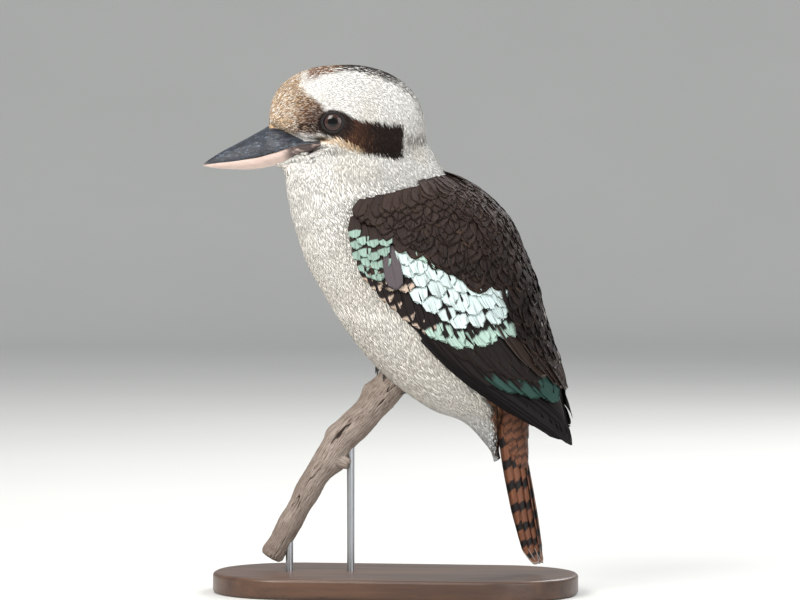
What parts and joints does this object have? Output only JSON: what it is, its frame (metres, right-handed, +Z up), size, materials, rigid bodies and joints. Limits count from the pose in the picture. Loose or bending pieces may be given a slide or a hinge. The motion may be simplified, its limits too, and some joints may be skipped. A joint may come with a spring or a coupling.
{
  "type": "laughing kookaburra model",
  "caption": "Life-size perched kookaburra with folded wings and a long tail, on the end of a cut branch held by an oval display stand.",
  "frame": {"origin": "middle of the underside of the stand's base", "axes": "+Z up, the bird faces -X, its left side is -Y and its plane of symmetry is y = 0"},
  "size_m": [0.258, 0.126, 0.3608],
  "materials": {
    "plumage": "matt feathers, white, brown and rufous, barred on the tail",
    "bill": "satin horn, blue-black above and pale below",
    "eyes": "wet gloss, dark brown iris and black pupil",
    "legs": "scaled grey-olive skin with dark claws",
    "perch_wood": "weathered grey-brown branch wood with long cracks",
    "stand_wood": "dark satin board",
    "stand_rods": "brushed"
  },
  "bodies": {
    "root": {"head": "plumage", "neck": "plumage", "torso": "plumage", "wing_left": "plumage", "wing_right": "plumage", "tail": "plumage", "bill_upper": "bill", "bill_lower": "bill", "eye_left": "eyes", "eye_right": "eyes", "leg_left": "legs", "leg_right": "legs", "foot_left": "legs", "foot_right": "legs", "perch": "perch_wood", "stand_base": "stand_wood", "stand_rod_1": "stand_rods", "stand_rod_2": "stand_rods"}
  },
  "joints": []
}
